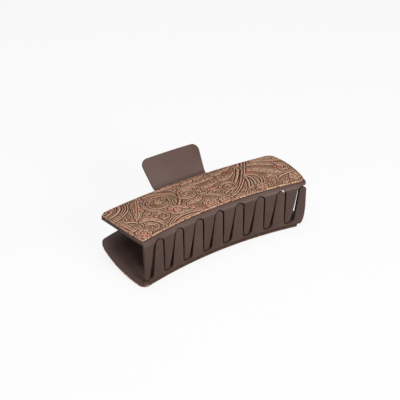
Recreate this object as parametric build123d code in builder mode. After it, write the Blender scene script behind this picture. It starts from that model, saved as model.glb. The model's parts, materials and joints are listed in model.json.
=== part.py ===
from build123d import *
import math
import os

# A leather-faced claw clip: two jaws of one outline on a hinge pin, closed, lying on the lower one.
# Modelling frame: X along the clip, Y from the fingers at the front to the levers at the back,
# Z up, with the closed clip's middle plane at Z 0 and the ends of its front edge at Y 0.
# The last section tilts the whole clip down onto the floor.

# Plan outline of a jaw
front_half_width = 53.1
back_half_width = 56.9
jaw_depth = 39.6
front_hollow = 5.75
back_bow = 6.15
end_bow = 1.4
back_corner_radius = 3.5
free_corner_radius = 4.0

# Height of the closed clip over its leather, at the front edge and in the middle of the back edge
front_height = 31.3
back_height = 17.7
plate_crown = 2.1

# Layers of a jaw, from the outside in
leather_thickness = 1.5
glue_gap = 0.1
plate_thickness = 1.6

# Margins of the leather inside the plate's outline
upper_leather_front_margin = 2.7
lower_leather_front_margin = 1.2
leather_side_margin = 0.2
leather_back_margin = 0.6

# Front wall and its fingers
wall_thickness = 1.8
wall_tip_thickness = 1.4
bend_radius = 2.5
inner_bend_radius = 1.0
wall_straight_height = 9.0
finger_count = 8
finger_pitch = 13.35
finger_end_gap = 0.75
end_finger_slimming = 0.8
valley_depth = 3.6
wall_face_clearance = 0.05

# The upper jaw's fingers are slimmer, and curve in behind the full ones of the lower jaw
slim_half_width = 2.6
slim_taper = 0.083
slim_reach = 11.0
slim_inset = 1.3
full_half_width = 3.0
full_taper = 0.06
full_reach = 12.5
full_inset = 0.2

# Rounded corner under the lower jaw's end finger, which fades out towards the back
relief_width = 4.0
relief_height = 8.5
relief_spread = 0.9

# Lever at the back of each jaw
lever_root_half_width = 17.3
lever_tip_half_width = 19.5
lever_thickness = 1.6
lever_angle = 48.0
lever_length = 18.7
lever_setback = 2.4
lever_foot = 8.0
lever_foot_sink = 0.15
lever_bend_radius = 4.5
lever_corner_radius = 4.2
lever_tip_crown = 0.3
lever_edge_radius = 0.6

# Hinge: ears, pin and spring
hinge_y = 37.0
pin_radius = 1.25
pin_clearance = 0.05
pin_overhang = 0.3
ear_radius = 3.0
ear_thickness = 2.4
ear_gap = 0.25
ear_foot = 10.0
wire_diameter = 1.1
coil_turns = 6
coil_inner_radius = 2.2
coil_end_gap = 0.3
spring_leg_reach = 7.0
spring_leg_gap = 0.1


# Heights of the crowned layers: all are arcs about one centre line under the plate
back_middle = jaw_depth + back_bow
front_half_height = front_height / 2
back_half_height = back_height / 2
crown_chord = math.hypot(back_middle, front_half_height - back_half_height)
crown_radius = crown_chord**2 / (8 * plate_crown) + plate_crown / 2
crown_slope = math.atan2(front_half_height - back_half_height, back_middle)
crown_centre_y = back_middle / 2 - (crown_radius - plate_crown) * math.sin(crown_slope)
crown_centre_z = (
    (front_half_height + back_half_height) / 2 - (crown_radius - plate_crown) * math.cos(crown_slope)
)

plate_top_depth = leather_thickness + glue_gap
plate_underside_depth = plate_top_depth + plate_thickness
plate_middle_depth = plate_top_depth + plate_thickness / 2


def layer_height(y, depth):
    """Height at y of the surface that lies `depth` under the leather's face."""
    reach = crown_radius - depth
    return crown_centre_z + math.sqrt(reach**2 - (y - crown_centre_y) ** 2)


def layer_point(y, depth):
    return (y, layer_height(y, depth))


# Front arc: its centre lies far in front of the clip
front_radius = (front_half_width**2 + front_hollow**2) / (2 * front_hollow)
front_centre_y = front_hollow - front_radius
front_axis = Axis((0, front_centre_y, 0), (0, 0, 1))
overrun = 5.0
jaw_half_length = max(front_half_width, back_half_width) + overrun
sweep_half_angle = math.degrees(math.asin((jaw_half_length + overrun) / front_radius))
sweep_start = math.radians(sweep_half_angle)
sweep_plane = Plane(
    origin=(0, front_centre_y, 0),
    x_dir=(math.sin(sweep_start), math.cos(sweep_start), 0),
    z_dir=(math.cos(sweep_start), -math.sin(sweep_start), 0),
)
tall = front_height


def crowned_layer(outer_depth, inner_depth):
    """Solid of a crowned layer between two depths, running past the jaw on every side."""
    start = -overrun
    end = back_middle + overrun
    middle = (start + end) / 2
    half_length = jaw_half_length + overrun
    with BuildPart() as layer:
        with BuildSketch(Plane.YZ.offset(-half_length)):
            with BuildLine():
                outer = ThreePointArc(*(layer_point(y, outer_depth) for y in (start, middle, end)))
                inner = ThreePointArc(*(layer_point(y, inner_depth) for y in (start, middle, end)))
                Line(outer @ 0, inner @ 0)
                Line(outer @ 1, inner @ 1)
            make_face()
        extrude(amount=2 * half_length)
    return layer.part


def plan_prism(front_margin, side_margin, back_margin):
    """Prism of a jaw's outline from above, less its margins. Its right front corner is rounded."""
    front_x = front_half_width - side_margin
    back_x = back_half_width - side_margin
    middle_x = (front_x + back_x) / 2 + end_bow
    back_y = jaw_depth - back_margin
    middle_y = (front_margin + back_y) / 2
    with BuildPart() as prism:
        with BuildSketch(Plane.XY.offset(-tall)) as outline:
            with BuildLine():
                front_middle = (0, front_hollow + front_margin)
                ThreePointArc((-front_x, front_margin), front_middle, (front_x, front_margin))
                ThreePointArc((front_x, front_margin), (middle_x, middle_y), (back_x, back_y))
                ThreePointArc((back_x, back_y), (0, back_middle - back_margin), (-back_x, back_y))
                ThreePointArc((-back_x, back_y), (-middle_x, middle_y), (-front_x, front_margin))
            make_face()
            fillet(outline.vertices().group_by(Axis.Y)[-1], back_corner_radius)
            corners = outline.vertices().sort_by_distance((front_x, front_margin))
            fillet(corners[0], free_corner_radius)
        extrude(amount=2 * tall)
    return prism.part


# Fingers: both jaws' fingers alternate at half the pitch
first_valley_x = -(finger_count / 2 + 0.25) * finger_pitch
last_valley_x = first_valley_x + finger_count * finger_pitch
finger_foot = max(slim_reach, full_reach)


def round_end(x, apex, half_width, taper, start=-1, end=1):
    """Three points of the arc that closes two tapered sides; -1 and 1 are where it meets the sides.

    half_width is half the distance between the sides at the height of the apex.
    """
    radius = half_width / (math.hypot(1, taper) - taper)
    side_angle = math.pi / 2 - math.atan(taper)
    points = []
    for share in (start, (start + end) / 2, end):
        sink = radius * (1 - math.cos(share * side_angle))
        points.append((x + radius * math.sin(share * side_angle), apex - math.copysign(sink, apex)))
    return points


def comb(half_width, taper, reach, valley_apex):
    """Everything from a jaw's plate to its finger tips, with the end finger at the left.

    half_width is a finger's in the middle plane. The valleys take the other jaw's fingers.
    """
    tip_half_width = half_width - taper * reach
    valley_half_width = finger_pitch / 2 - half_width - taper * valley_apex
    with BuildPart() as body:
        with BuildSketch(Plane.XZ.offset(-tall)):
            with BuildLine():
                valley = round_end(first_valley_x, valley_apex, valley_half_width, taper, start=0)
                ThreePointArc(*valley)
                for finger in range(1, finger_count + 1):
                    slimming = end_finger_slimming / 2 if finger == 1 else 0
                    finger_x = first_valley_x + (finger - 0.5) * finger_pitch - slimming
                    tip = round_end(finger_x, -reach, tip_half_width - slimming, taper)
                    Line(valley[2], tip[0])
                    ThreePointArc(*tip)
                    valley_x = first_valley_x + finger * finger_pitch - slimming
                    valley_end = 1 if finger < finger_count else 0
                    valley_width = valley_half_width + slimming
                    valley = round_end(valley_x, valley_apex, valley_width, taper, end=valley_end)
                    Line(tip[2], valley[0])
                    ThreePointArc(*valley)
                Polyline(
                    (last_valley_x, valley_apex),
                    (last_valley_x + tall, valley_apex),
                    (last_valley_x + tall, tall),
                    (first_valley_x, tall),
                    (first_valley_x, valley_apex),
                )
            make_face()
        extrude(amount=2 * tall)
    return body.part


def finger_cuts(half_width, taper, reach, valley_apex):
    """Everything that a jaw's fingers leave open, in a curved band just deeper than the wall."""
    fingers = comb(half_width, taper, reach, valley_apex)
    with BuildPart() as cuts:
        with BuildSketch(sweep_plane):
            with Locations((front_radius + valley_depth, 0)):
                Rectangle(valley_depth + overrun, 2 * tall, align=(Align.MAX, Align.CENTER))
        revolve(axis=front_axis, revolution_arc=2 * sweep_half_angle)
        add(fingers, mode=Mode.SUBTRACT)
    return cuts.part


# Rounded corner above the end finger, as the space that it leaves
with BuildPart() as corner_relief:
    relief_x = -front_half_width
    relief_foot = layer_height(0, plate_top_depth) - relief_height
    with BuildSketch(Plane.XZ):
        with BuildLine():
            round_side = EllipticalCenterArc(
                (relief_x + relief_width, relief_foot), relief_width, relief_height, 90, arc_size=90
            )
            Polyline(
                round_side @ 0,
                (relief_x + relief_width, tall),
                (relief_x - tall, tall),
                (relief_x - tall, relief_foot),
                round_side @ 1,
            )
        make_face()
    extrude(amount=tall, dir=(-relief_spread, 1, 0), both=True)

# Lever: a strip bent up behind the plate, cut to its outline square to its straight part
lever_rise = math.radians(lever_angle)
lever_corner_y = back_middle + lever_setback
lever_corner = layer_point(lever_corner_y, plate_top_depth)


def lever_point(run):
    """Point on the lever's outer face, a run above its corner."""
    return (lever_corner[0] + run * math.cos(lever_rise), lever_corner[1] + run * math.sin(lever_rise))


lever_tip = lever_point(lever_length)
lever_plane = Plane(
    origin=(0, lever_tip[0], lever_tip[1]),
    x_dir=(1, 0, 0),
    z_dir=(0, -math.sin(lever_rise), math.cos(lever_rise)),
)

lever_foot_half_width = 2 * lever_root_half_width - lever_tip_half_width

with BuildPart() as lever:
    with BuildSketch(Plane.YZ):
        with BuildLine():
            FilletPolyline(
                layer_point(lever_corner_y - lever_foot, plate_top_depth + lever_foot_sink),
                lever_corner,
                lever_point(lever_length + overrun),
                radius=lever_bend_radius,
            )
            offset(amount=lever_thickness, side=Side.RIGHT)
        make_face()
    extrude(amount=lever_tip_half_width, both=True)
    with BuildSketch(lever_plane.offset(-lever_length)) as lever_outline:
        with BuildLine():
            tip_edge = ThreePointArc(
                (-lever_tip_half_width, -lever_tip_crown), (0, 0), (lever_tip_half_width, -lever_tip_crown)
            )
            Polyline(
                tip_edge @ 1,
                (lever_foot_half_width, -2 * lever_length),
                (-lever_foot_half_width, -2 * lever_length),
                tip_edge @ 0,
            )
        make_face()
        fillet(lever_outline.vertices().group_by(Axis.Y)[-1], lever_corner_radius)
    extrude(amount=2 * lever_length, mode=Mode.INTERSECT)
    lever_faces = lever.faces().filter_by(Axis(lever_plane.origin, lever_plane.z_dir))
    fillet(lever_faces.edges().filter_by(Axis.X, reverse=True), lever_edge_radius)

# Ears that carry the pin, as a web under the plate with a round end
coil_half_length = coil_turns * wire_diameter / 2
inner_ear_x = coil_half_length + coil_end_gap
outer_ear_x = inner_ear_x + ear_thickness + ear_gap
pin_half_length = outer_ear_x + ear_thickness + pin_overhang


def ear(x):
    """Ear that starts at x and is ear_thickness thick towards +X."""
    with BuildPart() as one_ear:
        with BuildSketch(Plane.YZ.offset(x)):
            with BuildLine():
                Polyline(
                    (hinge_y - ear_radius, 0),
                    (hinge_y + ear_radius, 0),
                    layer_point(hinge_y + ear_foot / 2, plate_middle_depth),
                    layer_point(hinge_y - ear_foot / 2, plate_middle_depth),
                    close=True,
                )
            make_face()
            with Locations((hinge_y, 0)):
                Circle(ear_radius)
                Circle(pin_radius + pin_clearance, mode=Mode.SUBTRACT)
        extrude(amount=ear_thickness)
    return one_ear.part


def front_space(inset):
    """All that lies in front of a jaw's wall, whose finger tips stand back by the inset."""
    with BuildPart() as space:
        with BuildSketch(sweep_plane):
            with BuildLine():
                straight_face = Line((front_radius, tall), (front_radius, wall_straight_height))
                tip_face = (front_radius + inset, -finger_foot)
                TangentArc(straight_face @ 1, tip_face, tangent=straight_face % 1)
                Polyline(
                    tip_face,
                    (front_radius + inset, -tall),
                    (front_radius - tall, -tall),
                    (front_radius - tall, tall),
                    (front_radius, tall),
                )
            make_face()
        revolve(axis=front_axis, revolution_arc=2 * sweep_half_angle)
    return space.part


def moulding(half_width, taper, reach, valley_apex, inset):
    """A jaw with its plate on top: plate, front wall with its fingers, lever and ears."""
    with BuildPart() as jaw:
        with BuildSketch(sweep_plane):
            with BuildLine():
                wall_top = layer_height(0, plate_middle_depth)
                back_radius = front_radius + wall_thickness
                straight_back = Line((back_radius, wall_top), (back_radius, wall_straight_height))
                tip_back = (front_radius + inset + wall_tip_thickness, -finger_foot)
                TangentArc(straight_back @ 1, tip_back, tangent=straight_back % 1)
                Polyline(
                    tip_back,
                    (front_radius - wall_thickness, -finger_foot),
                    (front_radius - wall_thickness, wall_top),
                    (back_radius, wall_top),
                )
            make_face()
        revolve(axis=front_axis, revolution_arc=2 * sweep_half_angle)
        add(crowned_layer(plate_top_depth, plate_underside_depth))
        add(front_space(inset), mode=Mode.SUBTRACT)
        # Both ends are cut flat past the outline, so that the bends round over equal lengths
        Box(2 * jaw_half_length, 4 * tall, 2 * tall, mode=Mode.INTERSECT)
        bend_edges = jaw.edges().filter_by_position(Axis.Y, -overrun, front_hollow + 2 * wall_thickness)
        long_edges = bend_edges.filter_by(lambda edge: edge.length > 2 * front_half_width).sort_by(Axis.Z)
        inner_bend, outer_bend = long_edges[-2:]
        fillet(inner_bend, inner_bend_radius)
        fillet(outer_bend, bend_radius)
        add(plan_prism(-wall_face_clearance, 0, 0), mode=Mode.INTERSECT)
        add(finger_cuts(half_width, taper, reach, valley_apex), mode=Mode.SUBTRACT)
        add(lever.part)
        add(ear(inner_ear_x))
        add(ear(-outer_ear_x - ear_thickness))
    return jaw.part


with BuildPart() as upper_jaw:
    add(moulding(slim_half_width, slim_taper, slim_reach, full_reach + finger_end_gap, slim_inset))

# The lower jaw and its leather are turned half round about the front-to-back axis
with BuildPart() as lower_jaw:
    add(
        moulding(full_half_width, full_taper, full_reach, slim_reach + finger_end_gap, full_inset),
        rotation=(0, 180, 0),
    )
    add(corner_relief.part, rotation=(0, 180, 0), mode=Mode.SUBTRACT)


def facing(front_margin):
    """Leather on top of a jaw's plate."""
    with BuildPart() as leather:
        add(crowned_layer(0, leather_thickness))
        add(plan_prism(front_margin, leather_side_margin, leather_back_margin), mode=Mode.INTERSECT)
    return leather.part


with BuildPart() as upper_leather:
    add(facing(upper_leather_front_margin))

with BuildPart() as lower_leather:
    add(facing(lower_leather_front_margin), rotation=(0, 180, 0))
    add(corner_relief.part, rotation=(0, 180, 0), mode=Mode.SUBTRACT)

hinge_axis = Axis((0, hinge_y, 0), (1, 0, 0))

with BuildPart() as hinge_pin:
    with BuildSketch(Plane.YZ):
        with Locations((hinge_y, 0)):
            Circle(pin_radius)
    extrude(amount=pin_half_length, both=True)

# Spring: touching turns round the pin and a leg along the underside of each plate
wire_radius = wire_diameter / 2
coil_middle_radius = coil_inner_radius + wire_radius
leg_end_y = hinge_y + spring_leg_reach
leg_end_z = layer_height(leg_end_y, plate_underside_depth) - wire_radius - spring_leg_gap
leg_x = coil_half_length - wire_radius

with BuildPart() as spring:
    with BuildSketch(Plane.XY):
        with BuildLine():
            for turn in range(coil_turns):
                x = -coil_half_length + turn * wire_diameter
                ThreePointArc(
                    (x, hinge_y + coil_middle_radius),
                    (x + wire_radius, hinge_y + coil_middle_radius + wire_radius),
                    (x + wire_diameter, hinge_y + coil_middle_radius),
                )
            Polyline(
                (coil_half_length, hinge_y + coil_middle_radius),
                (coil_half_length, hinge_y + coil_inner_radius),
                (-coil_half_length, hinge_y + coil_inner_radius),
                (-coil_half_length, hinge_y + coil_middle_radius),
            )
        make_face()
    revolve(axis=hinge_axis)
    for side in (1, -1):
        leg_start = Vector(side * leg_x, hinge_y, side * coil_middle_radius)
        leg = Vector(side * leg_x, leg_end_y, side * leg_end_z) - leg_start
        with BuildSketch(Plane(origin=leg_start, z_dir=leg)):
            Circle(wire_radius)
        extrude(amount=leg.length)

# Resting place: the clip lies on the front corners of the lower leather and on the lower lever's tip
tip_round_y = lever_tip[0] - lever_edge_radius * (math.cos(lever_rise) - math.sin(lever_rise))
tip_round_z = lever_tip[1] - lever_edge_radius * (math.sin(lever_rise) + math.cos(lever_rise))
rest_run = tip_round_y - lower_leather_front_margin
rest_drop = tip_round_z - layer_height(lower_leather_front_margin, 0)
rest_tilt = math.degrees(
    math.atan2(rest_drop, rest_run) + math.asin(lever_edge_radius / math.hypot(rest_run, rest_drop))
)

nodes = {
    "lower_jaw": lower_jaw,
    "lower_leather": lower_leather,
    "upper_jaw": upper_jaw,
    "upper_leather": upper_leather,
    "hinge_pin": hinge_pin,
    "spring": spring,
}
tilt = Location((0, 0, 0), (rest_tilt, 0, 0))
tilted = Compound([node.part.moved(tilt) for node in nodes.values()])
box = tilted.bounding_box()
stand = Location((-box.center().X, -box.center().Y, -box.min.Z)) * tilt

os.makedirs("parts", exist_ok=True)
for name, node in nodes.items():
    node.part = node.part.moved(stand)
    node.part.label = name
    export_step(node.part, "parts/" + name + ".step")
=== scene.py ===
import json
import math

import bmesh
import bpy
import numpy as np
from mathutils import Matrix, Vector


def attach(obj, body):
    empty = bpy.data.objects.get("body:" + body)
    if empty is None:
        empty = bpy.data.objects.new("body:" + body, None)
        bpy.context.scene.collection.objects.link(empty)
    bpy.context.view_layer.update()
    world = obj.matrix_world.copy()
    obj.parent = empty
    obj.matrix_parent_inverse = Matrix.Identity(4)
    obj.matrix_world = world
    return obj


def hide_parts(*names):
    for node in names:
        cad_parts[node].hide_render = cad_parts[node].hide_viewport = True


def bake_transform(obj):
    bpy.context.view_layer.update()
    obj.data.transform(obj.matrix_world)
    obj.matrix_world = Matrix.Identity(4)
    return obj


# A leather-faced claw clip, closed and lying on its lower jaw. Lengths are in millimetres until a
# mesh is made. The clip's own frame has X along it, Y from the fingers to the levers and Z 0 in the
# middle plane between the jaws.
MM = 0.001

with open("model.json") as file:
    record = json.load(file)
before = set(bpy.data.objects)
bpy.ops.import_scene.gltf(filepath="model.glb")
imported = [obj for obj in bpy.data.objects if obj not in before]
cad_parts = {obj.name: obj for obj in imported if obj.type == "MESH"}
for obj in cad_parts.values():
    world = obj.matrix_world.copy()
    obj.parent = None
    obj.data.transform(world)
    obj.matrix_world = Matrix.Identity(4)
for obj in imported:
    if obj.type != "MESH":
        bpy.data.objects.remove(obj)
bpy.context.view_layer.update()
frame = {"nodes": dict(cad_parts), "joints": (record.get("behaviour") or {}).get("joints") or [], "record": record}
nodes = frame["nodes"]
record = frame["record"]

# Outline of a jaw's plate from above
FRONT_HALF_WIDTH = 53.1
BACK_HALF_WIDTH = 56.9
JAW_DEPTH = 39.6
FRONT_HOLLOW = 5.75
BACK_BOW = 6.15
END_BOW = 1.4
BACK_CORNER_RADIUS = 3.5
FREE_CORNER_RADIUS = 4.0
FINGER_CORNER_RADIUS = 0.6

# Crown of the plates
FRONT_HALF_HEIGHT = 15.65
BACK_HALF_HEIGHT = 8.85
PLATE_CROWN = 2.1

# Leather facing
LEATHER_THICKNESS = 1.5
LEATHER_FRONT_MARGINS = {1: 2.7, -1: 1.2}
LEATHER_SIDE_MARGIN = 0.2
LEATHER_BACK_MARGIN = 0.6
CORNER_CUT_X = 49.1
CORNER_CUT_SPREAD = 0.9

HINGE_Y = 37.0
back_middle = JAW_DEPTH + BACK_BOW
chord = math.hypot(back_middle, FRONT_HALF_HEIGHT - BACK_HALF_HEIGHT)
crown_radius = chord**2 / (8 * PLATE_CROWN) + PLATE_CROWN / 2
crown_slope = math.atan2(FRONT_HALF_HEIGHT - BACK_HALF_HEIGHT, back_middle)
crown_drop = crown_radius - PLATE_CROWN
crown_centre_y = back_middle / 2 - crown_drop * math.sin(crown_slope)
crown_centre_z = (FRONT_HALF_HEIGHT + BACK_HALF_HEIGHT) / 2 - crown_drop * math.cos(crown_slope)

# The clip's frame in the row frame, from the hinge and the two thumb pads
pads = {mount["name"]: Vector(mount["axis"]) for mount in record["mounts"]}
forward = -(pads["upper_thumb_pad"] + pads["lower_thumb_pad"]).normalized()
tilt = math.atan2(forward.z, forward.y)
hinge = Vector(frame["joints"][0]["pos_m"]) / MM
clip_y = hinge.y - HINGE_Y * math.cos(tilt)
clip_z = hinge.z - HINGE_Y * math.sin(tilt)


def in_row(points):
    """Points of the clip's frame in millimetres, in the row frame in metres."""
    points = np.asarray(points, float)
    y = points[:, 1] * math.cos(tilt) - points[:, 2] * math.sin(tilt) + clip_y
    z = points[:, 1] * math.sin(tilt) + points[:, 2] * math.cos(tilt) + clip_z
    return np.stack([points[:, 0], y, z], 1) * MM


def layer_height(y, depth):
    return crown_centre_z + np.sqrt((crown_radius - depth) ** 2 - (y - crown_centre_y) ** 2)


def smooth(share):
    share = np.clip(share, 0, 1)
    return share * share * (3 - 2 * share)


def arc_height(x, half_chord, sagitta):
    """Height at x of an arc over a chord, counted from the chord's ends."""
    radius = (half_chord**2 + sagitta**2) / (2 * sagitta)
    return np.sqrt(radius**2 - x**2) - (radius - sagitta)


def leather_front(x, margin):
    return margin + arc_height(x, FRONT_HALF_WIDTH - LEATHER_SIDE_MARGIN, FRONT_HOLLOW)


def leather_back(x):
    bow = arc_height(x, BACK_HALF_WIDTH - LEATHER_SIDE_MARGIN, BACK_BOW)
    return JAW_DEPTH - LEATHER_BACK_MARGIN + bow


# Tooled relief: motifs drawn in plan, laid one over another on a stippled ground. Heights and
# depths of cut are shares of the relief's depth, from 0 at its lowest to 1 at its crests.
CURVE_STEPS = 36
SPIRAL_STEPS = 60
SPIRAL_CLOSING = 0.8


def curve(points):
    """Smooth line that starts and ends at the first and last point and leans towards the others."""
    points = np.array(points, float)
    t = np.linspace(0, 1, CURVE_STEPS)[:, None]
    line = np.zeros((CURVE_STEPS, 2))
    degree = len(points) - 1
    for i, point in enumerate(points):
        line += math.comb(degree, i) * t**i * (1 - t) ** (degree - i) * point
    return line


def spiral(x, y, radius, turns, start, sense):
    """Line that curls in to (x, y), from a radius and a start angle in degrees."""
    share = np.linspace(0, 1, SPIRAL_STEPS)
    angle = math.radians(start) + sense * share * turns * math.tau
    reach = radius * (1 - share) ** SPIRAL_CLOSING
    return np.stack([x + reach * np.cos(angle), y + reach * np.sin(angle)], 1)


def along(line, x, y):
    """Distance from a line, the side, and the share of its length, at each point."""
    start, step = line[:-1], np.diff(line, axis=0)
    length = np.hypot(step[:, 0], step[:, 1])
    before = np.concatenate([[0], np.cumsum(length)])
    rel_x = x[:, None] - start[None, :, 0]
    rel_y = y[:, None] - start[None, :, 1]
    share = np.clip((rel_x * step[:, 0] + rel_y * step[:, 1]) / np.maximum(length**2, 1e-9), 0, 1)
    gap_x = rel_x - share * step[:, 0]
    gap_y = rel_y - share * step[:, 1]
    gap = np.hypot(gap_x, gap_y)
    nearest = gap.argmin(1)
    row = np.arange(len(x))
    side = np.sign(step[nearest, 0] * gap_y[row, nearest] - step[nearest, 1] * gap_x[row, nearest])
    run = (before[nearest] + share[row, nearest] * length[nearest]) / before[-1]
    return gap[row, nearest], side, run


def cut(distance, width):
    """A knife cut: 1 on its line and 0 beyond its width."""
    return 1 - smooth(np.abs(distance) / width)


GROUND = 0.5
MOAT = 0.6
RISE = 0.5
BAND_FLOOR = 0.3
SCROLL_TAPER = 0.45
SCROLL_BEAD = 0.75
BEAD_CROWN = 0.6

# Leaf: widths of the cuts in millimetres
LEAF_CURL = 0.15
LEAF_LEAST_HALF = 0.15
LEAF_CROWN = 0.35
RIB_WIDTH = 0.38
RIB_DEPTH = 0.85
RIB_END = 0.93
VEIN_WIDTH = 0.34
VEIN_SLANT = 0.35
VEIN_DEPTH = 0.45
VEIN_START = 0.15
VEIN_END = 0.8
RIM_INSET = 0.95
RIM_CUT_WIDTH = 0.32
RIM_CUT_DEPTH = 0.8

# Rosette and medallion: places as shares of the radius
PETAL_NOTCH = 0.2
PETAL_FLOOR = 0.7
PETAL_CUT_WIDTH = 0.22
PETAL_CUT_DEPTH = 0.55
PETAL_LINE = 0.72
PETAL_LINE_DEPTH = 0.45
EYE_RING = 0.42
EYE_RING_DEPTH = 0.85
EYE_RADIUS = 0.36
SEED_PITCH = 5.2
OVAL_RIM = 0.8
OVAL_LINE = 0.9
OVAL_FIELD = 0.76
OVAL_FIELD_HEIGHT = 0.42


class Tooling:
    """Height and colour masks of the relief at the points of a leather's plan."""

    def __init__(self, x, y):
        self.x, self.y = x, y
        self.height = np.full(len(x), GROUND)
        self.warmth = np.zeros(len(x))
        self.stipple = np.ones(len(x))

    def near(self, line, reach):
        low, high = line.min(0) - reach, line.max(0) + reach
        return np.nonzero(
            (self.x > low[0]) & (self.x < high[0]) & (self.y > low[1]) & (self.y < high[1])
        )[0]

    def lay(self, where, inside, crest, warmth, stipple=0.0):
        """Raise a motif over what is under it: inside is how far a point lies in from its outline."""
        cover = smooth(inside / MOAT + 1)
        body = crest * smooth(inside / RISE)
        self.height[where] = self.height[where] * (1 - cover) + body * cover
        self.warmth[where] = self.warmth[where] * (1 - cover) + warmth * cover
        self.stipple[where] = self.stipple[where] * (1 - cover) + stipple * cover

    def band(self, points, width, lines=2, warmth=0.5, taper=0.5, line=None):
        """Band of parallel ridges along a curve, narrower at its end by the taper."""
        path = curve(points) if line is None else line
        where = self.near(path, width + 1)
        gap, side, run = along(path, self.x[where], self.y[where])
        half = width * (1 - taper * run)
        across = side * gap / half
        ridges = 0.5 + 0.5 * np.cos(math.pi * lines * (across + 1) + math.pi)
        self.lay(where, half - gap, BAND_FLOOR + (1 - BAND_FLOOR) * ridges, warmth)

    def leaf(self, points, width, lobes=5, warmth=0.7, veins=True):
        """Leaf along its midrib, with lobed sides, a cut along the rib and slanting veins."""
        path = curve(points)
        where = self.near(path, width + 1)
        gap, side, run = along(path, self.x[where], self.y[where])
        swell = np.sin(math.pi * np.clip(run, 0.02, 1) ** 0.75) ** 0.7
        lobe = 1 + LEAF_CURL * np.abs(np.sin(math.pi * lobes * run + 0.4 * side))
        half = np.maximum(width * swell * lobe / (1 + LEAF_CURL), LEAF_LEAST_HALF)
        share = gap / half
        crest = 1 - LEAF_CROWN * share**2
        crest = crest * (1 - RIB_DEPTH * cut(gap, RIB_WIDTH) * smooth((RIB_END - run) / 0.1))
        if veins:
            phase = (run * lobes - VEIN_SLANT * share) % 1
            vein = cut((phase - 0.5) * 2, VEIN_WIDTH)
            vein = vein * smooth((share - VEIN_START) / 0.15) * smooth((VEIN_END - share) / 0.15)
            rim = cut(half - gap - RIM_INSET, RIM_CUT_WIDTH) * smooth((half - 2 * RIM_INSET) / 0.4)
            crest = crest * (1 - np.maximum(VEIN_DEPTH * vein, RIM_CUT_DEPTH * rim))
        self.lay(where, half - gap, crest, warmth)

    def scroll(self, x, y, radius, turns, start, sense, width, warmth=0.6, lines=2):
        """Band that curls in to a bead."""
        path = spiral(x, y, radius, turns, start, sense)
        self.band(None, width, lines, warmth, SCROLL_TAPER, path)
        self.bead(x, y, width * SCROLL_BEAD, warmth)

    def bead(self, x, y, radius, warmth=0.6):
        where = self.near(np.array([[x, y]]), radius + 1)
        gap = np.hypot(self.x[where] - x, self.y[where] - y)
        crest = np.sqrt(np.clip(1 - (gap / radius) ** 2 * BEAD_CROWN, 0, 1))
        self.lay(where, radius - gap, crest, warmth)

    def rosette(self, x, y, radius, petals=6, turn=0.0, warmth=0.8):
        """Flower with round petals, a ring about its middle and a seed head."""
        where = self.near(np.array([[x, y]]), radius + 1)
        dx, dy = self.x[where] - x, self.y[where] - y
        gap, angle = np.hypot(dx, dy), np.arctan2(dy, dx) + turn
        petal = np.abs(np.cos(petals * angle / 2))
        edge = radius * (1 - PETAL_NOTCH + PETAL_NOTCH * petal**0.6)
        share = gap / edge
        crest = PETAL_FLOOR + (1 - PETAL_FLOOR) * petal * smooth((share - 0.3) / 0.3)
        crest = crest - PETAL_CUT_DEPTH * cut(petal, PETAL_CUT_WIDTH) * smooth((share - 0.4) / 0.15)
        crest = crest - PETAL_LINE_DEPTH * cut((share - PETAL_LINE), 0.09) * petal
        crest = crest * (1 - EYE_RING_DEPTH * cut(share - EYE_RING, 0.1))
        seeds = 0.5 + 0.5 * np.cos(dx * SEED_PITCH) * np.cos(dy * SEED_PITCH)
        crest = np.where(share < EYE_RADIUS, 0.75 + 0.25 * seeds, crest)
        self.lay(where, edge - gap, np.clip(crest, 0, 1), warmth)

    def medallion(self, x, y, long, wide, turn=0.0, warmth=0.45):
        """Oval with a double rim and a stippled field."""
        where = self.near(np.array([[x, y]]), max(long, wide) + 1)
        dx, dy = self.x[where] - x, self.y[where] - y
        u = (dx * math.cos(turn) + dy * math.sin(turn)) / long
        v = (dy * math.cos(turn) - dx * math.sin(turn)) / wide
        share = np.hypot(u, v)
        size = (long + wide) / 2
        crest = np.where(share > OVAL_RIM, 0.95, OVAL_FIELD_HEIGHT)
        crest = crest * (1 - 0.7 * cut((share - OVAL_RIM) * size, 0.35))
        crest = crest * (1 - 0.5 * cut((share - OVAL_LINE) * size, 0.25))
        field = np.where(share < OVAL_FIELD, 1.0, 0.0)
        self.lay(where, (1 - share) * size, crest, warmth, field)


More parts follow.
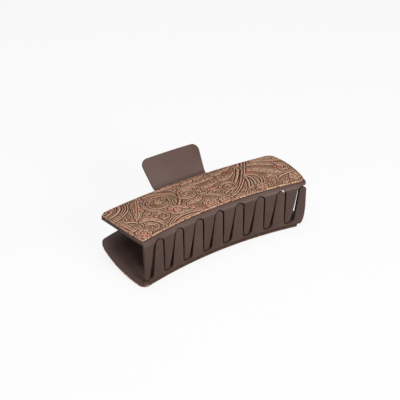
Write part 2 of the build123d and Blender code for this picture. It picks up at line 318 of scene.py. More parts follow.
# Placing of the tooled motifs on a facing, in the order that they overlap
BANDS = (
    # points, width, lines, warmth, taper
    ([(-41, 43), (-41, 33), (-50, 27), (-57, 26)], 1.5, 2, 0.35, 0.1),
    ([(-45, 43), (-45, 36), (-51, 31), (-58, 30)], 1.3, 1, 0.5, 0.1),
    ([(-49, 42), (-49, 38), (-53, 34), (-58, 34)], 1.2, 1, 0.65, 0.1),
    ([(-36, 4), (-30, 12), (-20, 13), (-12, 9)], 1.4, 2, 0.6, 0.3),
    ([(-33, 4.5), (-27, 9.5), (-20, 9.5), (-14, 7)], 1.1, 1, 0.75, 0.3),
    ([(-17, 23), (-13, 32), (-18, 38), (-27, 41)], 1.2, 2, 0.45, 0.3),
    ([(-20, 20), (-14, 26), (-10, 36), (-17, 43)], 1.0, 1, 0.35, 0.3),
    ([(39, 42), (33, 33), (27, 26), (24, 21), (15, 13), (10, 12)], 1.7, 2, 0.4, 0.2),
    ([(35.5, 42.5), (30, 34), (24, 27), (20, 22), (13, 17), (8, 16)], 1.3, 1, 0.5, 0.3),
    ([(27, 25), (27, 19), (22, 14), (19, 8)], 1.1, 1, 0.4, 0.3),
    ([(28, 26), (31, 21), (28, 15), (24, 9)], 1.1, 1, 0.55, 0.3),
    ([(29, 27), (35, 23), (34, 17), (31, 14)], 1.1, 1, 0.45, 0.3),
    ([(-2, 21), (4, 16), (8, 10), (8, 6)], 1.2, 2, 0.5, 0.3),
    ([(43, 40), (49, 33), (54, 30), (57, 30)], 1.2, 2, 0.45, 0.3),
    ([(41, 12), (46, 15), (49, 13), (54, 14)], 1.1, 1, 0.5, 0.3),
    ([(-57, 22), (-50, 22), (-45, 17), (-46, 13)], 1.2, 1, 0.5, 0.3),
)
LEAVES = (
    # points, width, lobes, warmth
    ([(-31, 43), (-37, 38), (-39, 28), (-47, 19)], 4.3, 4, 0.55),
    ([(-30, 20), (-36, 24), (-37, 30), (-34, 37)], 1.8, 4, 0.45),
    ([(-53, 13), (-52, 18), (-55, 21), (-56, 24)], 1.9, 3, 0.6),
    ([(-57, 12), (-53, 12), (-50, 14), (-47, 11)], 1.5, 3, 0.65),
    ([(-47, 16), (-42, 20), (-35, 17), (-36, 4)], 2.0, 5, 1.0),
    ([(-46, 12), (-42, 15), (-38, 12), (-40, 5)], 1.6, 4, 0.8),
    ([(-27, 19), (-24, 21), (-19, 18), (-17, 14)], 2.4, 4, 0.7),
    ([(-16, 18), (-10, 20), (-6, 17), (-5, 22)], 2.2, 4, 0.6),
    ([(-1, 33), (-6, 36), (-12, 34), (-14, 28)], 2.8, 5, 0.85),
    ([(-24, 44), (-16, 41), (-10, 44), (-4, 42)], 1.8, 5, 0.6),
    ([(-6, 40), (1, 42), (6, 40), (12, 43)], 2.0, 5, 0.8),
    ([(0, 29), (4, 27), (6, 30), (12, 29)], 2.1, 4, 0.75),
    ([(-3, 37), (4, 35), (8, 37), (14, 35)], 1.8, 4, 0.55),
    ([(14, 40), (19, 36), (24, 41), (31, 42)], 2.4, 5, 0.55),
    ([(13, 31), (18, 28), (20, 32), (26, 33)], 2.3, 4, 0.65),
    ([(33, 30), (38, 30), (42, 22), (48, 15)], 3.2, 5, 0.9),
    ([(37, 36), (43, 36), (46, 30), (49, 26)], 2.3, 4, 0.6),
    ([(43, 42), (49, 40), (51, 36), (56, 36)], 2.3, 4, 0.55),
    ([(50, 28), (53, 25), (50, 21), (55, 17)], 1.9, 4, 0.7),
    ([(36, 17), (41, 19), (42, 14), (40, 10)], 1.8, 4, 0.6),
    ([(-29, 16), (-23, 12), (-20, 14), (-14, 11)], 1.3, 3, 0.75),
    ([(46, 9), (43, 6), (40, 6), (36, 7)], 1.5, 3, 0.7),
    ([(20, 5.5), (16, 9), (12, 8), (9, 10)], 1.6, 4, 0.75),
    ([(57, 6), (54, 4), (50, 3), (46, 4)], 1.3, 3, 0.6),
)
SCROLLS = (
    # x, y, radius, turns, start, sense, width, warmth
    (-9.5, 28.5, 5.6, 1.5, 200, 1, 1.5, 0.8),
    (-2.5, 25.0, 3.6, 1.2, 40, -1, 1.1, 0.7),
    (13.5, 20.5, 5.0, 1.8, 150, -1, 1.2, 0.6),
    (51.0, 21.0, 4.2, 1.4, 90, -1, 1.3, 0.7),
    (-54.0, 38.0, 2.8, 1.2, 0, 1, 1.0, 0.6),
    (-32.5, 15.5, 3.9, 1.4, 150, -1, 1.3, 0.6),
    (22.0, 10.0, 2.6, 1.2, 60, 1, 0.9, 0.6),
    (-41.0, 9.0, 2.0, 1.1, 220, 1, 0.8, 0.8),
    (5.0, 38.5, 2.6, 1.2, 240, -1, 0.9, 0.7),
    (31.0, 37.0, 2.6, 1.2, 300, 1, 0.9, 0.6),
)
ROSETTES = (
    # x, y, radius, petals, turn, warmth
    (-49.4, 7.4, 4.6, 7, 0.2, 0.8),
    (-4.5, 12.2, 4.6, 6, 0.5, 0.9),
    (3.6, 11.0, 3.5, 5, 0.1, 0.75),
    (28.6, 10.4, 3.6, 6, 0.0, 0.7),
    (50.4, 9.0, 3.9, 5, 0.7, 0.95),
    (-23.0, 16.5, 2.4, 5, 0.3, 0.9),
    (-26.9, 29.7, 2.7, 6, 0.3, 0.85),
)
MEDALLIONS = (
    # x, y, long, wide, turn, warmth
    (-26.8, 29.6, 8.2, 6.8, 0.9, 0.4),
    (37.4, 8.8, 3.6, 3.0, 0.3, 0.5),
    (22.5, 35.5, 3.4, 2.6, 0.6, 0.4),
)
SPRIGS = (
    # leaves that lie on top of the medallions
    ([(-31.8, 30.5), (-31, 33.5), (-28, 35), (-24.5, 34)], 1.0, 3, 0.8),
    ([(-22, 28.5), (-22.6, 25.8), (-25.5, 24.4), (-29, 25.2)], 1.0, 3, 0.7),
)


FILL_PITCH = 2.3
FILL_SHIFT = 0.8
FILL_TURN = 0.5
FILL_CLEARANCE = 1.15
OPEN_GROUND = 0.75
LEAF_SHARE = 0.62
CURL_SHARE = 0.8


def fill_ground(tooling):
    """Small leaves, curls and beads wherever the large motifs leave the ground open."""
    dice = np.random.default_rng(11)
    columns = np.arange(-57, 58, FILL_PITCH)
    places = [(x, y) for x in columns for y in np.arange(2, 46, FILL_PITCH)]
    dice.shuffle(places)
    for place_x, place_y in places:
        x = place_x + dice.uniform(-FILL_SHIFT, FILL_SHIFT)
        y = place_y + dice.uniform(-FILL_SHIFT, FILL_SHIFT)
        pick, turn = dice.uniform(), dice.uniform(-FILL_TURN, FILL_TURN)
        near = np.hypot(tooling.x - x, tooling.y - y) < FILL_CLEARANCE
        if not near.any() or tooling.stipple[near].min() < OPEN_GROUND:
            continue
        flow = 0.9 * math.sin(x * 0.11 + 0.7) + 1.1 * math.cos(y * 0.16 + x * 0.05) + turn
        along_x, along_y = math.cos(flow), math.sin(flow)
        if pick < LEAF_SHARE:
            half = 2.0 + pick
            bend = 0.9 * math.sin(pick * 40)
            points = [
                (x - half * along_x, y - half * along_y),
                (x - bend * along_y, y + bend * along_x),
                (x + half * along_x, y + half * along_y),
            ]
            tooling.leaf(points, 1.05, 3, 0.35 + 0.6 * pick, veins=False)
        elif pick < CURL_SHARE:
            tooling.scroll(x, y, 1.5, 1.1, math.degrees(flow), 1, 0.62, pick, 1)
        else:
            tooling.bead(x, y, 0.75, pick)
            tooling.bead(x + 1.5 * along_x, y + 1.5 * along_y, 0.5, pick)


def tool_leather(x, y):
    tooling = Tooling(x, y)
    for points, width, lines, warmth, taper in BANDS:
        tooling.band(points, width, lines, warmth, taper)
    for points, width, lobes, warmth in LEAVES:
        tooling.leaf(points, width, lobes, warmth)
    for x0, y0, radius, turns, start, sense, width, warmth in SCROLLS:
        tooling.scroll(x0, y0, radius, turns, start, sense, width, warmth)
    for x0, y0, long, wide, turn, warmth in MEDALLIONS:
        tooling.medallion(x0, y0, long, wide, turn, warmth)
    for points, width, lobes, warmth in SPRIGS:
        tooling.leaf(points, width, lobes, warmth)
    for x0, y0, radius, petals, turn, warmth in ROSETTES:
        tooling.rosette(x0, y0, radius, petals, turn, warmth)
    fill_ground(tooling)
    return tooling


# Leather facings
COLUMNS = 456
ROWS = 184
EDGE_ROWS = (0.0, 0.012, 0.05, 0.11, 0.2, 0.32, 0.5)
EDGE_SHARE_OF_DEPTH = 0.025
EDGE_SHARE_OF_LENGTH = 0.01
CORNER_RUN_DEPTH = 42.0
RELIEF_DEPTH = 0.55
EDGE_ROUND = 0.25
RIM_WIDTH = 0.6
RIM_FADE = 0.4
RIM_HEIGHT = 0.85
EDGE_MASKS = (("raised", 0.5), ("warmth", 0.5), ("stipple", 0.0), ("cut_edge", 1.0), ("painted_light_and_shade", 0.5))
# Painted shade on the lower ring of the cut edge and on the underside.
LOW_EDGE = {"painted_light_and_shade": 0.8}
# Painted shade along the lower facing's front edge.
FRONT_EDGE_PAINTED_SHADE = 0.7
COARSE = 4
LIGHT_EDGE_DEPTH = 1.15
LOW_EDGE_DEPTH = 1.35
TURNED_PATTERN_SHIFT = 3.0
# Blurs and gains of the painted light and shade of the relief, from how far a place dips below its neighbours.
NARROW_BLUR = 2
WIDE_BLUR = 5
NARROW_DIP_GAIN = 1.7
WIDE_DIP_GAIN = 0.5
LEVEL = 0.5


def leather_grid(margin, cut_corner):
    """Rows and columns of a facing's plan, close together at its edges."""
    inner = np.linspace(0, 1, ROWS - 2 * len(EDGE_ROWS) + 2)[1:-1]
    edge = np.array(EDGE_ROWS) * EDGE_SHARE_OF_DEPTH
    share = np.concatenate([edge, edge[-1] + inner * (1 - 2 * edge[-1]), 1 - edge[::-1]])
    front_run = share * CORNER_RUN_DEPTH
    back_run = (1 - share) * CORNER_RUN_DEPTH

    def corner(run, radius):
        inset = np.clip(radius - run, 0, radius)
        return radius - np.sqrt(radius**2 - inset**2)

    y_side = margin + share * (JAW_DEPTH - LEATHER_BACK_MARGIN - margin)
    half = FRONT_HALF_WIDTH - LEATHER_SIDE_MARGIN + share * (BACK_HALF_WIDTH - FRONT_HALF_WIDTH)
    half = half + END_BOW * (1 - (2 * share - 1) ** 2)
    back_inset = corner(back_run, BACK_CORNER_RADIUS)
    left = half - np.maximum(corner(front_run, FINGER_CORNER_RADIUS), back_inset)
    if cut_corner:
        left = np.minimum(left, CORNER_CUT_X + CORNER_CUT_SPREAD * y_side)
    right = half - np.maximum(corner(front_run, FREE_CORNER_RADIUS), back_inset)
    across = np.linspace(0, 1, COLUMNS - 2 * len(EDGE_ROWS) + 2)[1:-1]
    edge = np.array(EDGE_ROWS) * EDGE_SHARE_OF_LENGTH
    across = np.concatenate([edge, edge[-1] + across * (1 - 2 * edge[-1]), 1 - edge[::-1]])
    x = -left[:, None] + (left + right)[:, None] * across[None, :]
    front, back = leather_front(x, margin), leather_back(x)
    y = front + (back - front) * share[:, None]
    return x, y


def blurred(values, reach):
    """Mean of the values round each place of a grid, out to a reach in rows and columns."""
    for axis in (0, 1):
        shifted = [np.roll(values, step, axis) for step in range(-reach, reach + 1)]
        values = sum(shifted) / len(shifted)
    return values


def leather_facing(name, side):
    """Facing of the upper jaw (side 1) or of the lower one (side -1), which is turned half round."""
    margin = LEATHER_FRONT_MARGINS[side]
    x, y = leather_grid(margin, side < 0)
    rows, columns = x.shape
    if side > 0:
        tooling = tool_leather(x.ravel(), y.ravel())
    else:
        tooling = tool_leather(-x.ravel(), back_middle + TURNED_PATTERN_SHIFT - y.ravel())
    edge = np.minimum.reduce([
        y - leather_front(x, margin), leather_back(x) - y, x - x[:, :1], x[:, -1:] - x,
    ])
    rim = smooth((RIM_WIDTH - edge) / RIM_FADE)
    edge = np.clip(edge, 0, EDGE_ROUND)
    roll = EDGE_ROUND - np.sqrt(EDGE_ROUND**2 - (EDGE_ROUND - edge) ** 2)
    height = tooling.height.reshape(x.shape)
    height = height + (RIM_HEIGHT - height) * rim
    # Painted light and shade of the relief: a place that dips below its neighbours is painted darker, as painted
    # shade that is partly antique dye in the cuts, and a place that stands above them is painted lighter, as a
    # painted highlight.
    narrow_dip = blurred(height, NARROW_BLUR) - height
    wide_dip = blurred(height, WIDE_BLUR) - height
    painted_light_and_shade = np.clip(LEVEL + NARROW_DIP_GAIN * narrow_dip + WIDE_DIP_GAIN * wide_dip, 0, 1)
    # Painted shade along the lower facing's front edge, which faces down.
    if side < 0:
        painted_light_and_shade = np.where(y - leather_front(x, margin) < EDGE_ROUND, FRONT_EDGE_PAINTED_SHADE, painted_light_and_shade)
    depth = RELIEF_DEPTH * (1 - height) + roll
    top = layer_height(y, 0) - depth
    points = [np.stack([x.ravel(), y.ravel(), top.ravel()], 1)]

    ring = [(0, c) for c in range(columns)] + [(r, columns - 1) for r in range(1, rows)]
    ring += [(rows - 1, c) for c in range(columns - 2, -1, -1)] + [(r, 0) for r in range(rows - 2, 0, -1)]
    ring = np.array(ring)
    ring_x, ring_y = x[ring[:, 0], ring[:, 1]], y[ring[:, 0], ring[:, 1]]
    ring_index = ring[:, 0] * columns + ring[:, 1]
    faces = []
    index = np.arange(rows * columns).reshape(rows, columns)
    quads = np.stack([index[:-1, :-1], index[:-1, 1:], index[1:, 1:], index[1:, :-1]], -1).reshape(-1, 4)
    faces.extend(quads.tolist())
    count = rows * columns
    masks = {
        "raised": [height.ravel()],
        "warmth": [tooling.warmth],
        "stipple": [tooling.stipple],
        "cut_edge": [smooth(roll.ravel() / EDGE_ROUND - 0.25)],
        "painted_light_and_shade": [painted_light_and_shade.ravel()],
    }
    rings = [ring_index]
    # The lower ring of the cut edge takes the painted shade in LOW_EDGE.
    for wall_depth, tints in ((LIGHT_EDGE_DEPTH, {}), (LOW_EDGE_DEPTH, LOW_EDGE)):
        points.append(np.stack([ring_x, ring_y, layer_height(ring_y, wall_depth)], 1))
        rings.append(np.arange(count, count + len(ring)))
        count += len(ring)
        for key, value in EDGE_MASKS:
            tint = np.full(len(ring), tints.get(key, value))
            # Painted shade on the lower facing's front edge here too.
            if side < 0 and key == "painted_light_and_shade":
                tint = np.where(ring[:, 0] == 0, FRONT_EDGE_PAINTED_SHADE, tint)
            masks[key].append(tint)
    for upper, lower in zip(rings[:-1], rings[1:]):
        after = np.roll(np.arange(len(ring)), -1)
        faces.extend(np.stack([upper[after], upper, lower, lower[after]], -1).tolist())

    coarse_rows = list(range(0, rows - 1, COARSE)) + [rows - 1]
    coarse_columns = list(range(0, columns - 1, COARSE)) + [columns - 1]
    under = {}
    under_points = []
    for r in coarse_rows:
        for c in coarse_columns:
            under[(r, c)] = count + len(under_points)
            under_points.append((x[r, c], y[r, c], layer_height(y[r, c], LEATHER_THICKNESS)))
    points.append(np.array(under_points))
    # The underside takes the painted shade in LOW_EDGE too.
    for key, value in EDGE_MASKS:
        masks[key].append(np.full(len(under_points), LOW_EDGE.get(key, value)))
    for r0, r1 in zip(coarse_rows[:-1], coarse_rows[1:]):
        for c0, c1 in zip(coarse_columns[:-1], coarse_columns[1:]):
            faces.append([under[r0, c0], under[r1, c0], under[r1, c1], under[r0, c1]])
    low = rings[-1].tolist()
    corners = [i for i, (r, c) in enumerate(ring.tolist()) if (r, c) in under]
    for here, there in zip(corners, corners[1:] + [corners[0] + len(ring)]):
        run = [low[i % len(ring)] for i in range(here, there + 1)]
        start, end = (tuple(ring[i % len(ring)]) for i in (here, there))
        faces.append(run[::-1] + [under[start], under[end]])

    points = np.concatenate(points)
    if side < 0:
        points = points * (-1, 1, -1)
    mesh = bpy.data.meshes.new(name)
    mesh.from_pydata(in_row(points).tolist(), [], faces)
    for key, parts in masks.items():
        layer = mesh.attributes.new(key, "FLOAT", "POINT")
        layer.data.foreach_set("value", np.concatenate(parts).astype(np.float32))
    mesh.validate()
    mesh.shade_smooth()
    facing = bpy.data.objects.new(name, mesh)
    bpy.context.scene.collection.objects.link(facing)
    return facing


# Materials
class Nodes:
    """Short hand for the nodes of one material or group."""

    def __init__(self, tree):
        self.tree = tree

    def add(self, kind, values=None, **settings):
        node = self.tree.nodes.new(kind)
        for key, value in settings.items():
            setattr(node, key, value)
        for key, value in (values or {}).items():
            socket = node.inputs[key]
            if isinstance(value, bpy.types.NodeSocket):
                self.tree.links.new(value, socket)
            else:
                socket.default_value = value
        return node

    def math(self, operation, first, second=0.0, clamp=False):
        values = {0: first, 1: second}
        return self.add("ShaderNodeMath", values, operation=operation, use_clamp=clamp).outputs[0]

    def mix(self, share, first, second, blend="MIX"):
        node = self.add("ShaderNodeMix", data_type="RGBA", blend_type=blend)
        for socket, value in ((node.inputs[0], share), (node.inputs[6], first), (node.inputs[7], second)):
            if isinstance(value, bpy.types.NodeSocket):
                self.tree.links.new(value, socket)
            else:
                socket.default_value = value
        return node.outputs[2]

    def range(self, value, low, high, to_low=0.0, to_high=1.0):
        return self.add(
            "ShaderNodeMapRange", {0: value, 1: low, 2: high, 3: to_low, 4: to_high}
        ).outputs[0]


def surface_variation_group():
    """Cloudy tone, fine grain and small pits, as masks round 0.5, at a surface's own scale."""
    group = bpy.data.node_groups.new("surface_variation", "ShaderNodeTree")
    for name, default in (("Cloud Size", 12.0), ("Grain Size", 0.3), ("Stretch", 1.0)):
        socket = group.interface.new_socket(name, in_out="INPUT", socket_type="NodeSocketFloat")
        socket.default_value = default
    for name in ("Cloud", "Grain", "Pits"):
        group.interface.new_socket(name, in_out="OUTPUT", socket_type="NodeSocketFloat")
    n = Nodes(group)
    inlet = n.add("NodeGroupInput")
    outlet = n.add("NodeGroupOutput")
    place = n.add("ShaderNodeTexCoord").outputs["Object"]
    stretch = n.add("ShaderNodeCombineXYZ", {0: inlet.outputs["Stretch"], 1: 1.0, 2: 1.0})
    stretched = n.add("ShaderNodeVectorMath", {0: place, 1: stretch.outputs[0]}, operation="MULTIPLY")
    place = stretched.outputs[0]
    cloud_scale = n.math("DIVIDE", 1 / MM, inlet.outputs["Cloud Size"])
    grain_scale = n.math("DIVIDE", 1 / MM, inlet.outputs["Grain Size"])
    cloud_values = {"Vector": place, "Scale": cloud_scale, "Detail": 3.0, "Roughness": 0.55}
    cloud = n.add("ShaderNodeTexNoise", cloud_values)
    grain_values = {"Vector": place, "Scale": grain_scale, "Detail": 2.0, "Roughness": 0.6}
    grain = n.add("ShaderNodeTexNoise", grain_values)
    pits = n.add("ShaderNodeTexVoronoi", {"Vector": place, "Scale": grain_scale}, feature="F1")
    n.tree.links.new(cloud.outputs[0], outlet.inputs["Cloud"])
    n.tree.links.new(grain.outputs[0], outlet.inputs["Grain"])
    n.tree.links.new(pits.outputs["Distance"], outlet.inputs["Pits"])
    return group


surface_variation = surface_variation_group()


def new_material(name):
    material = bpy.data.materials.new(name)
    material.use_nodes = True
    n = Nodes(material.node_tree)
    shader = material.node_tree.nodes["Principled BSDF"]
    return material, n, shader


def variation(n, cloud_size, grain_size, stretch=1.0):
    node = n.add("ShaderNodeGroup", node_tree=surface_variation)
    node.inputs["Cloud Size"].default_value = cloud_size
    node.inputs["Grain Size"].default_value = grain_size
    node.inputs["Stretch"].default_value = stretch
    return node.outputs["Cloud"], node.outputs["Grain"], node.outputs["Pits"]


def colour(red, green, blue):
    """An sRGB colour, 0 to 255, as Blender's linear RGBA."""
    linear = []
    for part in (red, green, blue):
        share = part / 255
        linear.append(((share + 0.055) / 1.055) ** 2.4 if part > 10 else share / 12.92)
    return (*linear, 1.0)


def moulded_plastic():
    """Satin brown moulding: fine spark-eroded grain, faint clouding and rubbed high spots."""
    material, n, shader = new_material("satin_moulded_plastic")
    cloud, grain, _ = variation(n, 16.0, 0.22)
    tone = n.mix(n.range(cloud, 0.3, 0.7), colour(80, 60, 54), colour(88, 69, 63))
    tone = n.mix(n.range(grain, 0.35, 0.7, 0.0, 0.35), tone, colour(102, 82, 75))
    n.tree.links.new(tone, shader.inputs["Base Color"])
    n.tree.links.new(n.range(cloud, 0.3, 0.7, 0.46, 0.56), shader.inputs["Roughness"])
    bump = n.add("ShaderNodeBump", {"Strength": 0.25, "Distance": 0.04 * MM, "Height": grain})
    n.tree.links.new(bump.outputs[0], shader.inputs["Normal"])
    shader.inputs["Specular IOR Level"].default_value = 0.3
    return material


def attribute(n, name):
    return n.add("ShaderNodeAttribute", attribute_type="GEOMETRY", attribute_name=name).outputs["Fac"]


def tooled_leather():
    """Embossed leather: brown and warmer on some motifs, with painted shade in its cuts that is partly antique
    dye, painted shade on its lower cut edges and along the lower facing's front edge, and a painted highlight on
    its crests.
    """
    material, n, shader = new_material("tooled_leather")
    cloud, grain, pits = variation(n, 9.0, 0.5)
    raised, warmth = attribute(n, "raised"), attribute(n, "warmth")
    stipple, edge = attribute(n, "stipple"), attribute(n, "cut_edge")
    painted_light_and_shade = attribute(n, "painted_light_and_shade")
    tone = n.mix(n.range(cloud, 0.35, 0.65), colour(126, 86, 54), colour(140, 102, 74))
    dye, fleck, _ = variation(n, 6.0, 0.9)
    tone = n.mix(n.range(dye, 0.5, 0.63, 0.0, 0.75), tone, colour(170, 84, 64))
    tone = n.mix(n.range(dye, 0.48, 0.34, 0.0, 0.6), tone, colour(128, 112, 82))
    warm = n.math("MULTIPLY", n.range(warmth, 0.5, 1.0), n.range(raised, 0.4, 0.9))
    tone = n.mix(n.math("MULTIPLY", warm, 0.4), tone, colour(176, 110, 60))
    dots = n.math("MULTIPLY", n.range(pits, 0.3, 0.6), stipple)
    tone = n.mix(n.math("MULTIPLY", dots, 0.5), tone, colour(88, 58, 40))
    # Painted highlight on the crests of the relief.
    tone = n.mix(n.range(painted_light_and_shade, 0.47, 0.25, 0.0, 0.7), tone, colour(204, 168, 147))
    raw = n.mix(n.range(fleck, 0.4, 0.58), colour(112, 68, 48), colour(228, 190, 162))
    tone = n.mix(edge, tone, raw)
    # Painted shade: near black in the cuts, partly antique dye, and on the lower cut edges and the lower facing's
    # front edge.
    tone = n.mix(n.range(painted_light_and_shade, 0.52, 0.72, 0.0, 0.97), tone, colour(48, 20, 7))
    tone = n.mix(n.range(grain, 0.45, 0.75, 0.0, 0.3), tone, colour(186, 154, 133))
    n.tree.links.new(tone, shader.inputs["Base Color"])
    rough = n.range(raised, 0.2, 0.9, 0.66, 0.5)
    n.tree.links.new(n.math("ADD", rough, n.math("MULTIPLY", edge, 0.3), True), shader.inputs["Roughness"])
    stippled = n.math("MULTIPLY", pits, stipple)
    height = n.math("ADD", n.math("MULTIPLY", grain, 0.35), stippled)
    bump = n.add("ShaderNodeBump", {"Strength": 0.6, "Distance": 0.12 * MM, "Height": height})
    n.tree.links.new(bump.outputs[0], shader.inputs["Normal"])
    shader.inputs["Specular IOR Level"].default_value = 0.18
    return material


def drawn_steel():
    """Plain bright wire with drawing marks along it."""
    material, n, shader = new_material("drawn_steel")
    cloud, grain, _ = variation(n, 3.0, 0.15, 0.2)
    tone = n.mix(n.range(cloud, 0.3, 0.7), colour(168, 166, 162), colour(196, 194, 190))
    n.tree.links.new(tone, shader.inputs["Base Color"])
    n.tree.links.new(n.range(grain, 0.3, 0.7, 0.24, 0.4), shader.inputs["Roughness"])
    shader.inputs["Metallic"].default_value = 1.0
    return material


plastic = moulded_plastic()
leather = tooled_leather()
steel = drawn_steel()


def put_on(piece, material):
    piece.data.materials.clear()
    piece.data.materials.append(material)


# Jaws: the CAD solids with their moulded edges rounded
EDGE_SOFTNESS = 0.22
SHARP_EDGE = 32.0
BEVEL_STEPS = 3
MERGE_DISTANCE = 0.002
FLAT_ANGLE = 0.6


def soft_edged(node_name, body, name):
    jaw = nodes[node_name].copy()
    jaw.data = nodes[node_name].data.copy()
    for key in list(jaw.keys()):
        del jaw[key]
    jaw.parent = None
    jaw.name = jaw.data.name = name
    bpy.context.scene.collection.objects.link(jaw)
    mesh = bmesh.new()
    mesh.from_mesh(jaw.data)
    bmesh.ops.remove_doubles(mesh, verts=mesh.verts, dist=MERGE_DISTANCE * MM)
    flat = math.radians(FLAT_ANGLE)
    bmesh.ops.dissolve_limit(mesh, angle_limit=flat, verts=mesh.verts, edges=mesh.edges)
    mesh.to_mesh(jaw.data)
    mesh.free()
    bevel = jaw.modifiers.new("moulded_edges", "BEVEL")
    bevel.width = EDGE_SOFTNESS * MM
    bevel.segments = BEVEL_STEPS
    bevel.limit_method = "ANGLE"
    bevel.angle_limit = math.radians(SHARP_EDGE)
    bevel.use_clamp_overlap = True
    bevel.harden_normals = True
    jaw.data.shade_smooth()
    put_on(jaw, plastic)
    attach(jaw, body)
    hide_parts(node_name)
    return jaw


soft_edged("upper_jaw", "upper", "upper_jaw_moulding")
soft_edged("lower_jaw", "lower", "lower_jaw_moulding")

for facing_name, body_name, facing_side, node_name in (
    ("upper_leather_facing", "upper", 1, "upper_leather"),
    ("lower_leather_facing", "lower", -1, "lower_leather"),
):
    facing = leather_facing(facing_name, facing_side)
    put_on(facing, leather)
    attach(facing, body_name)
    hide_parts(node_name)

# Hinge pin: the CAD solid with a steel finish
pin = nodes["hinge_pin"]
pin.data.materials.clear()
pin.data.materials.append(steel)

# Spring: real turns of wire about the pin and a leg against each plate
WIRE_RADIUS = 0.55
COIL_TURNS = 6
COIL_RADIUS = 2.75
LEG_REACH = 7.0
PLATE_UNDERSIDE = 3.2
WIRE_SIDES = 10
WIRE_GAP = 0.1
LEG_STEPS = 12
STEPS_PER_TURN = 24


def spring_wire():
    half = COIL_TURNS * WIRE_RADIUS - WIRE_RADIUS
    leg_y = HINGE_Y + LEG_REACH
    leg_z = float(layer_height(leg_y, PLATE_UNDERSIDE)) - WIRE_RADIUS - WIRE_GAP
    line = []
    for i in range(LEG_STEPS + 1):
        share = i / LEG_STEPS
        y = leg_y + (HINGE_Y - leg_y) * share
        z = -leg_z + (leg_z - COIL_RADIUS) * share
        line.append((-half, y, z))
    turns = COIL_TURNS - 0.5
    steps = int(turns * STEPS_PER_TURN)
    for i in range(1, steps):
        share = i / steps
        angle = -math.pi / 2 - share * turns * math.tau
        y = HINGE_Y + COIL_RADIUS * math.cos(angle)
        line.append((-half + 2 * half * share, y, COIL_RADIUS * math.sin(angle)))
    for i in range(LEG_STEPS + 1):
        share = i / LEG_STEPS
        y = HINGE_Y + (leg_y - HINGE_Y) * share
        z = COIL_RADIUS + (leg_z - COIL_RADIUS) * share
        line.append((half, y, z))
    return in_row(line)


def tube(name, line, radius, sides):
    """Closed tube along a line of points, with flat ends."""
    step = np.gradient(line, axis=0)
    step /= np.linalg.norm(step, axis=1)[:, None]
    normal = np.cross(step[0], (1.0, 0.0, 0.0))
    points = []
    angles = np.arange(sides) * math.tau / sides
    for i in range(len(line)):
        normal = normal - step[i] * normal.dot(step[i])
        normal /= np.linalg.norm(normal)
        other = np.cross(step[i], normal)
        around = np.cos(angles)[:, None] * normal + np.sin(angles)[:, None] * other
        points.append(line[i] + radius * around)
    faces = []
    for i in range(len(line) - 1):
        for j in range(sides):
            k = (j + 1) % sides
            faces.append([i * sides + j, i * sides + k, (i + 1) * sides + k, (i + 1) * sides + j])
    last = (len(line) - 1) * sides
    faces.append(list(range(sides))[::-1])
    faces.append([last + j for j in range(sides)])
    mesh = bpy.data.meshes.new(name)
    mesh.from_pydata(np.concatenate(points).tolist(), [], faces)
    mesh.shade_smooth()
    piece = bpy.data.objects.new(name, mesh)
    bpy.context.scene.collection.objects.link(piece)
    return piece


spring = tube("spring_wire", spring_wire(), WIRE_RADIUS * MM, WIRE_SIDES)
put_on(spring, steel)
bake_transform(spring)
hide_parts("spring")

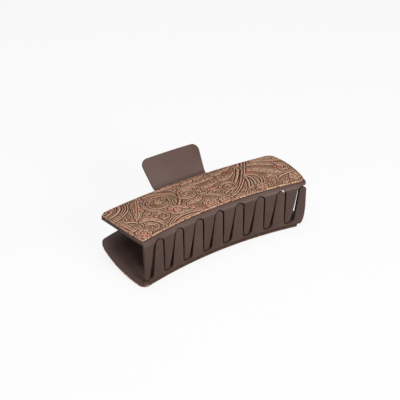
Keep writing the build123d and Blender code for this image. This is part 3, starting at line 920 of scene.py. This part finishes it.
# Floor, lights and camera
FLOOR_HALF = 3
floor_mesh = bpy.data.meshes.new("floor")
floor_corners = [(-FLOOR_HALF, -FLOOR_HALF, 0), (FLOOR_HALF, -FLOOR_HALF, 0)]
floor_corners += [(FLOOR_HALF, FLOOR_HALF, 0), (-FLOOR_HALF, FLOOR_HALF, 0)]
floor_mesh.from_pydata(floor_corners, [], [(0, 1, 2, 3)])
floor = bpy.data.objects.new("floor", floor_mesh)
bpy.context.scene.collection.objects.link(floor)
floor_paint, floor_nodes, floor_shader = new_material("white_table")
floor_shader.inputs["Base Color"].default_value = (0.1, 0.1, 0.1, 1)
floor_shader.inputs["Roughness"].default_value = 0.9
floor_shader.inputs["Specular IOR Level"].default_value = 0.1
floor_shader.inputs["Emission Color"].default_value = (1, 1, 1, 1)
seen = floor_nodes.add("ShaderNodeLightPath").outputs["Is Camera Ray"]
glow = floor_nodes.range(seen, 0.0, 1.0, 0.05, 0.87)
floor_nodes.tree.links.new(glow, floor_shader.inputs["Emission Strength"])
floor.data.materials.append(floor_paint)

world = bpy.data.worlds.new("studio")
bpy.context.scene.world = world
world.use_nodes = True
background = world.node_tree.nodes["Background"]
background.inputs["Color"].default_value = (1, 1, 1, 1)
background.inputs["Strength"].default_value = 0.03


def softbox(name, place, target, size, power):
    light = bpy.data.lights.new(name, "AREA")
    light.shape = "RECTANGLE"
    light.size, light.size_y = size
    light.energy = power
    lamp = bpy.data.objects.new(name, light)
    bpy.context.scene.collection.objects.link(lamp)
    lamp.location = place
    lamp.rotation_mode = "QUATERNION"
    lamp.rotation_quaternion = (Vector(target) - Vector(place)).to_track_quat("-Z", "Y")
    return lamp


for light_name, light_place, light_target, light_size, light_power in (
    ("overhead_softbox", (-0.12, -0.05, 0.95), (0, 0, 0.02), (0.9, 0.9), 7.6),
    ("window_softbox", (0.1, -0.85, 0.35), (0, 0, 0.02), (0.4, 0.4), 8.2),
    ("low_left_softbox", (-0.75, 0.02, 0.022), (0, 0, 0.015), (0.3, 0.03), 2.2),
):
    softbox(light_name, light_place, light_target, light_size, light_power)

SENSOR_WIDTH = 36.0
FOCAL_PIXELS = 888.08
PICTURE_WIDTH = 400
camera_data = bpy.data.cameras.new("camera")
camera = bpy.data.objects.new("camera", camera_data)
bpy.context.scene.collection.objects.link(camera)
bpy.context.scene.camera = camera
camera_data.sensor_width = SENSOR_WIDTH
camera_data.lens = SENSOR_WIDTH * FOCAL_PIXELS / PICTURE_WIDTH
camera.location = (-0.237257, -0.347495, 0.281987)
camera.rotation_mode = "QUATERNION"
camera.rotation_quaternion = Vector((0.482153, 0.7002, -0.526544)).to_track_quat("-Z", "Y")
camera_data.clip_start = 0.01
camera_data.clip_end = 20
bpy.context.scene.view_settings.view_transform = "Standard"
